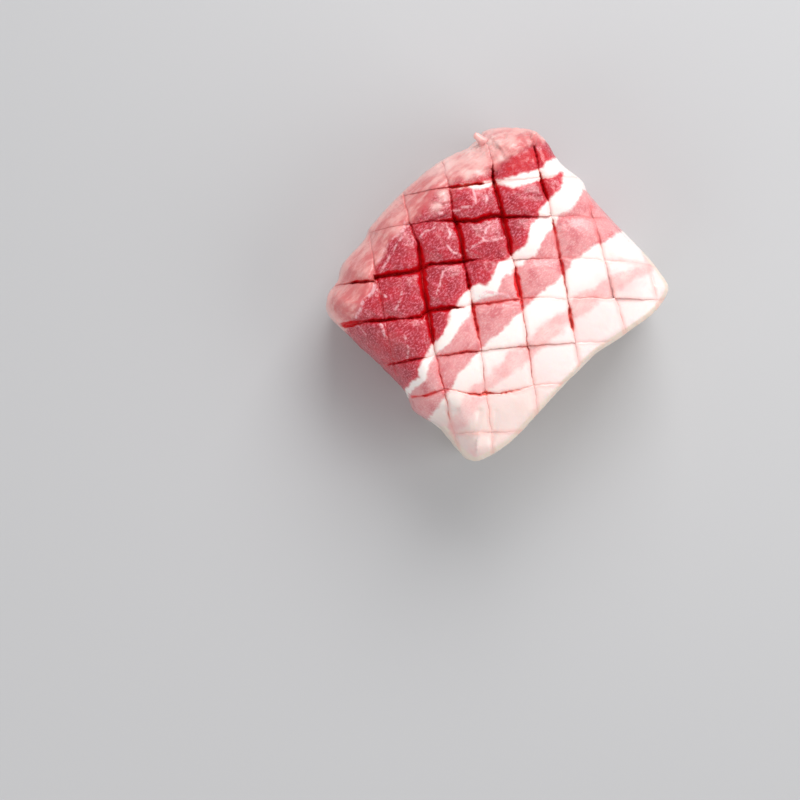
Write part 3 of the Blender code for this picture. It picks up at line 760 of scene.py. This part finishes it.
class Nodes:
    # short ways to add the nodes of one material
    def __init__(self, material):
        self.tree = material.node_tree

    def add(self, kind, settings=(), **inputs):
        new = self.tree.nodes.new(kind)
        for name, value in dict(settings).items():
            setattr(new, name, value)
        for name, value in inputs.items():
            self.put(new.inputs[name.replace("_", " ")], value)
        return new

    def put(self, socket, value):
        if isinstance(value, bpy.types.NodeSocket):
            self.tree.links.new(value, socket)
        else:
            socket.default_value = value

    def field(self, name):
        return self.add("ShaderNodeAttribute", {"attribute_name": name}).outputs["Fac"]

    def sum(self, operation, first, second=0.0):
        new = self.add("ShaderNodeMath", {"operation": operation})
        self.put(new.inputs[0], first)
        self.put(new.inputs[1], second)
        return new.outputs[0]

    def ramp(self, value, low, high, start=0.0, end=1.0):
        # smooth step from low to high
        new = self.add("ShaderNodeMapRange", {"interpolation_type": "SMOOTHSTEP"})
        for socket, amount in zip(new.inputs, (value, low, high, start, end)):
            self.put(socket, amount)
        return new.outputs[0]

    def blend(self, share, first, second):
        new = self.add("ShaderNodeMix", {"data_type": "RGBA"})
        self.put(new.inputs[0], share)
        self.put(new.inputs[6], first)
        self.put(new.inputs[7], second)
        return new.outputs[2]

    def noise(self, place, size, detail=2.0, roughness=0.5, stretch=None):
        if stretch:
            place = self.add("ShaderNodeMapping", Vector=place, Scale=stretch).outputs[0]
        return self.add("ShaderNodeTexNoise", Vector=place, Scale=1000.0 / size, Detail=detail,
                        Roughness=roughness).outputs["Fac"]

    def fibres(self, place, turn):
        # fine noise drawn out one way in plan
        turned = self.add("ShaderNodeMapping", Vector=place, Rotation=(0.0, 0.0, turn),
                          Scale=(finish["fibreStretch"], 1.0, 1.0)).outputs[0]
        return self.noise(turned, finish["fibreSize"], 3.0, 0.6)


def meatMaterial():
    material = bpy.data.materials.new("rawPorkBelly")
    material.use_nodes = True
    n = Nodes(material)
    place = n.add("ShaderNodeTexCoord").outputs["Object"]
    wobble = n.sum("SUBTRACT", n.noise(place, finish["wobbleSize"], 3.0), 0.5)
    fine = n.noise(place, finish["fineSize"], 3.0, 0.65)
    cloud = n.noise(place, finish["cloudSize"], 3.0)

    # marbling: thin pale webs that come and go in the lean
    bent = n.add("ShaderNodeVectorMath", {"operation": "MULTIPLY_ADD"})
    bend = n.add("ShaderNodeTexNoise", Vector=place, Scale=finish["webBendScale"], Detail=2.0)
    n.put(bent.inputs[0], bend.outputs["Color"])
    bent.inputs[1].default_value = (finish["webBend"],) * 3
    n.put(bent.inputs[2], place)
    web = n.add("ShaderNodeTexVoronoi", {"feature": "DISTANCE_TO_EDGE"}, Vector=bent.outputs[0],
                Scale=1000.0 / finish["webSize"]).outputs["Distance"]
    web = n.sum("MULTIPLY", n.ramp(web, 0.045, 0.0), n.ramp(n.noise(place, 6.5, 2.0), 0.48, 0.62))

    # short pale fibres, lying one way in some places and the other way elsewhere; their flecks are partly
    # fine fat, partly painted highlight of wet fibre ends
    oneWay, otherWay = (n.fibres(place, math.radians(turn)) for turn in finish["fibreTurns"])
    area = n.ramp(n.noise(place, finish["fibreArea"], 1.0), 0.42, 0.58)
    fibre = n.add("ShaderNodeMix", Factor=area, A=oneWay, B=otherWay).outputs["Result"]
    fleckAndSheen = n.ramp(fibre, 0.45, 0.67)
    leanColour = n.blend(n.ramp(cloud, 0.3, 0.7), colour("deepLean"), colour("lean"))
    # painted highlight: the pale flecks stand partly for glints on wet fibre ends, partly for fine fat
    leanColour = n.blend(n.sum("MULTIPLY", fleckAndSheen, 0.75), leanColour, colour("leanFleckAndSheen"))
    leanColour = n.blend(n.ramp(n.field("fat"), -1.8, 0.1, 0.0, 0.5), leanColour, colour("leanHalo"))
    paleColour = n.blend(n.ramp(cloud, 0.42, 0.68), colour("paleLean"), colour("paleLeanRed"))
    paleColour = n.blend(n.sum("MULTIPLY", fleckAndSheen, 0.35), paleColour, colour("streak"))

    def edge(name, soft=0.35, jitter=0.9):
        # share of a tissue at its border, softened and made uneven
        value = n.sum("MULTIPLY_ADD", wobble, jitter)
        n.put(value.node.inputs[2], n.field(name))
        return n.ramp(value, -soft, soft)

    fatColour = n.blend(n.ramp(n.field("outerFat"), -1.5, 2.5), colour("fat"), colour("outerFat"))
    # painted shade: darker beige over the fat at its lower left end
    fatColour = n.blend(n.sum("MULTIPLY", n.field("fatShadePatch"), 0.8), fatColour, colour("fatShadeTone"))
    fatColour = n.blend(n.sum("MULTIPLY", n.field("blush"), n.ramp(cloud, 0.3, 0.7)), fatColour,
                        colour("blush"))
    base = n.blend(edge("paleLean", 0.5), leanColour, paleColour)
    # fresh patches: one muscle's own saturated red, and beside some cuts partly a painted glow
    base = n.blend(n.sum("MULTIPLY", n.field("freshAndGlow"), n.ramp(fine, 0.75, 0.35, 0.35, 1.0)), base,
                   colour("freshAndGlow"))
    base = n.blend(n.sum("MULTIPLY", web, finish["webShare"]), base, colour("veinAndSheen"))
    base = n.blend(edge("fat", 0.5), base, fatColour)
    streakColour = n.blend(n.ramp(cloud, 0.3, 0.7), colour("streak"), colour("streakDeep"))
    streakColour = n.blend(n.sum("MULTIPLY", fleckAndSheen, 0.3), streakColour, colour("paleLean"))
    base = n.blend(edge("streak", 0.8, 1.2), base, streakColour)

    # the rib skin is thin and red next to the lean, mottled, and pale along the rim
    mottle = n.noise(place, finish["mottleSize"], 3.0, 0.6, (0.5, 1.0, 1.0))
    skinColour = n.blend(n.ramp(mottle, 0.36, 0.66, 0.0, 0.7), colour("membrane"), colour("membraneEdge"))
    thin = n.sum("MULTIPLY", n.ramp(n.field("membrane"), 4.0, -0.5), n.ramp(mottle, 0.62, 0.4))
    skinColour = n.blend(n.sum("MULTIPLY", thin, 0.55), skinColour, colour("membraneRed"))
    skinColour = n.blend(n.ramp(n.field("rim"), 2.2, 0.4, 0.0, 0.85), skinColour, colour("membraneEdge"))
    base = n.blend(edge("membrane", 0.9, 2.4), base, skinColour)
    base = n.blend(n.sum("MULTIPLY", n.field("milky"), n.ramp(mottle, 0.3, 0.55, 0.45, 0.9)), base,
                   colour("milkySkin"))
    # painted highlight: a bright broken line along the fold edge of each vein, over its pale seam colour
    ridgeAndSheen = n.sum("MULTIPLY", n.ramp(n.field("veinAndSheen"), -0.25, 0.2),
                  n.ramp(n.noise(place, 1.3, 2.0), 0.35, 0.6))
    base = n.blend(n.sum("MULTIPLY", ridgeAndSheen, 0.85), base, colour("veinAndSheen"))
    stain = n.ramp(n.noise(place, finish["rindStainSize"], 4.0, 0.6), 0.3, 0.8)
    rindColour = n.blend(stain, colour("rind"), colour("rindStain"))
    base = n.blend(n.ramp(n.field("rind"), -0.3, 0.3), base, rindColour)

    # painted glow and shade: beside and inside a cut the meat is brighter red and the fat pink, partly the
    # red of the cut meat and its juice, partly painted glow of light through the thin meat and painted shade
    # in the cut
    inFat = n.sum("MAXIMUM", edge("fat"), n.ramp(n.field("outerFat"), -0.5, 0.5))
    inPale, inSkin = edge("paleLean", 0.5), edge("membrane", 0.6, 2.0)

    def byTissue(lean, pale, fat):
        return n.blend(inFat, n.blend(inPale, colour(lean), colour(pale)), colour(fat))

    tint = n.blend(inSkin, byTissue("freshAndGlow", "creaseShadePale", "creaseShadeFat"), colour("membrane"))
    near = n.sum("MULTIPLY", n.ramp(n.field("fromCut"), 1.3, 0.1),
                 n.ramp(n.field("gape"), 0.0, 0.5, 0.32, 0.45))
    base = n.blend(near, base, tint)
    inside = n.ramp(n.field("gap"), 0.05, 0.6)
    gaping = n.ramp(n.field("gape"), 0.4, 0.95)
    crease = n.blend(inSkin, byTissue("creaseGlowLean", "creaseShadePale", "creaseShadeFat"), colour("creaseSkin"))
    # painted shade and glow on the walls of the open cuts
    wall = byTissue("gapGlowLean", "gapShadePale", "gapShadeFat")
    base = n.blend(inside, base, n.blend(gaping, crease, wall))

    shader = material.node_tree.nodes["Principled BSDF"]
    n.put(shader.inputs["Base Color"], base)
    rough = n.ramp(fine, 0.3, 0.7, finish["roughness"] - 0.1, finish["roughness"] + 0.12)
    n.put(shader.inputs["Roughness"], rough)
    for name, value in (("Coat Weight", "coat"), ("Coat Roughness", "coatRoughness"),
                        ("Subsurface Weight", "subsurface"), ("Subsurface Radius", "subsurfaceRadius")):
        shader.inputs[name].default_value = finish[value]
    shader.inputs["Subsurface Scale"].default_value = finish["subsurfaceScale"] * mm
    height = n.sum("MULTIPLY_ADD", fibre, 0.9)
    n.put(height.node.inputs[2], n.sum("MULTIPLY", n.noise(place, 0.35, 2.0), 0.3))
    height = n.sum("MULTIPLY", height, n.ramp(inFat, 0.0, 1.0, 1.0, 0.3))
    bump = n.add("ShaderNodeBump", Strength=finish["bump"], Distance=finish["bumpDepth"] * mm,
                 Height=height)
    n.put(shader.inputs["Normal"], bump.outputs[0])
    return material


print("slab and sides")
meat = cutOut(makeSlab(), makeColumn())
tidyRim(meat)
addShreds(meat)
print("relief and tissues,", len(meat.polygons), "faces")
finishMeat(meat)
porkBelly = bpy.data.objects.new("scored_pork_belly", meat)
bpy.context.scene.collection.objects.link(porkBelly)
meat.materials.append(meatMaterial())
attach(porkBelly, "root")
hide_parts("pork_belly_block")

# Pale floor, soft studio light and the camera
studio = {
    "floorSize": 4000.0, "floorLevel": -0.05, "floorColour": (0.5, 0.5, 0.51, 1.0),
    "keyAt": (400.0, 260.0, 440.0), "keySize": 420.0, "keyPower": 3.5,
    "fillAt": (260.0, -420.0, 380.0), "fillSize": 400.0, "fillPower": 1.2,
    "sideAt": (-420.0, -60.0, 320.0), "sideSize": 400.0, "sidePower": 0.65,
    "aimAt": (0.0, 0.0, 20.0),
    "skyColour": (1.0, 1.0, 1.0, 1.0), "skyStrength": 0.46,
    "cameraAt": (-37.74, -7.03, 550.0), "cameraTurn": -41.5, "cameraLens": 88.27,
}


def makeFloor():
    shape = bmesh.new()
    bmesh.ops.create_grid(shape, x_segments=1, y_segments=1, size=0.5 * studio["floorSize"] * mm)
    bmesh.ops.translate(shape, verts=shape.verts[:], vec=(0.0, 0.0, studio["floorLevel"] * mm))
    floor = bpy.data.objects.new("floor", makeMesh("floor", shape))
    bpy.context.scene.collection.objects.link(floor)
    material = bpy.data.materials.new("paleFloor")
    material.use_nodes = True
    shader = material.node_tree.nodes["Principled BSDF"]
    shader.inputs["Base Color"].default_value = studio["floorColour"]
    shader.inputs["Roughness"].default_value = 0.7
    floor.data.materials.append(material)


def makeLight(name):
    light = bpy.data.lights.new(name, "AREA")
    light.size = studio[name + "Size"] * mm
    light.energy = studio[name + "Power"]
    lamp = bpy.data.objects.new(name, light)
    lamp.location = Vector(studio[name + "At"]) * mm
    lamp.rotation_euler = (Vector(studio["aimAt"]) * mm - lamp.location).to_track_quat("-Z", "Y").to_euler()
    bpy.context.scene.collection.objects.link(lamp)


def makeCamera():
    camera = bpy.data.objects.new("camera", bpy.data.cameras.new("camera"))
    camera.data.sensor_width = 36.0
    camera.data.lens = studio["cameraLens"]
    camera.data.clip_start = 0.01
    camera.location = Vector(studio["cameraAt"]) * mm
    camera.rotation_euler = (0.0, 0.0, math.radians(studio["cameraTurn"]))
    bpy.context.scene.collection.objects.link(camera)
    bpy.context.scene.camera = camera


print("floor, lights and camera")
makeFloor()
makeLight("key")
makeLight("fill")
makeLight("side")
makeCamera()
world = bpy.data.worlds.new("studio")
world.use_nodes = True
sky = world.node_tree.nodes["Background"]
sky.inputs["Color"].default_value = studio["skyColour"]
sky.inputs["Strength"].default_value = studio["skyStrength"]
bpy.context.scene.world = world
bpy.context.scene.view_settings.view_transform = "Standard"
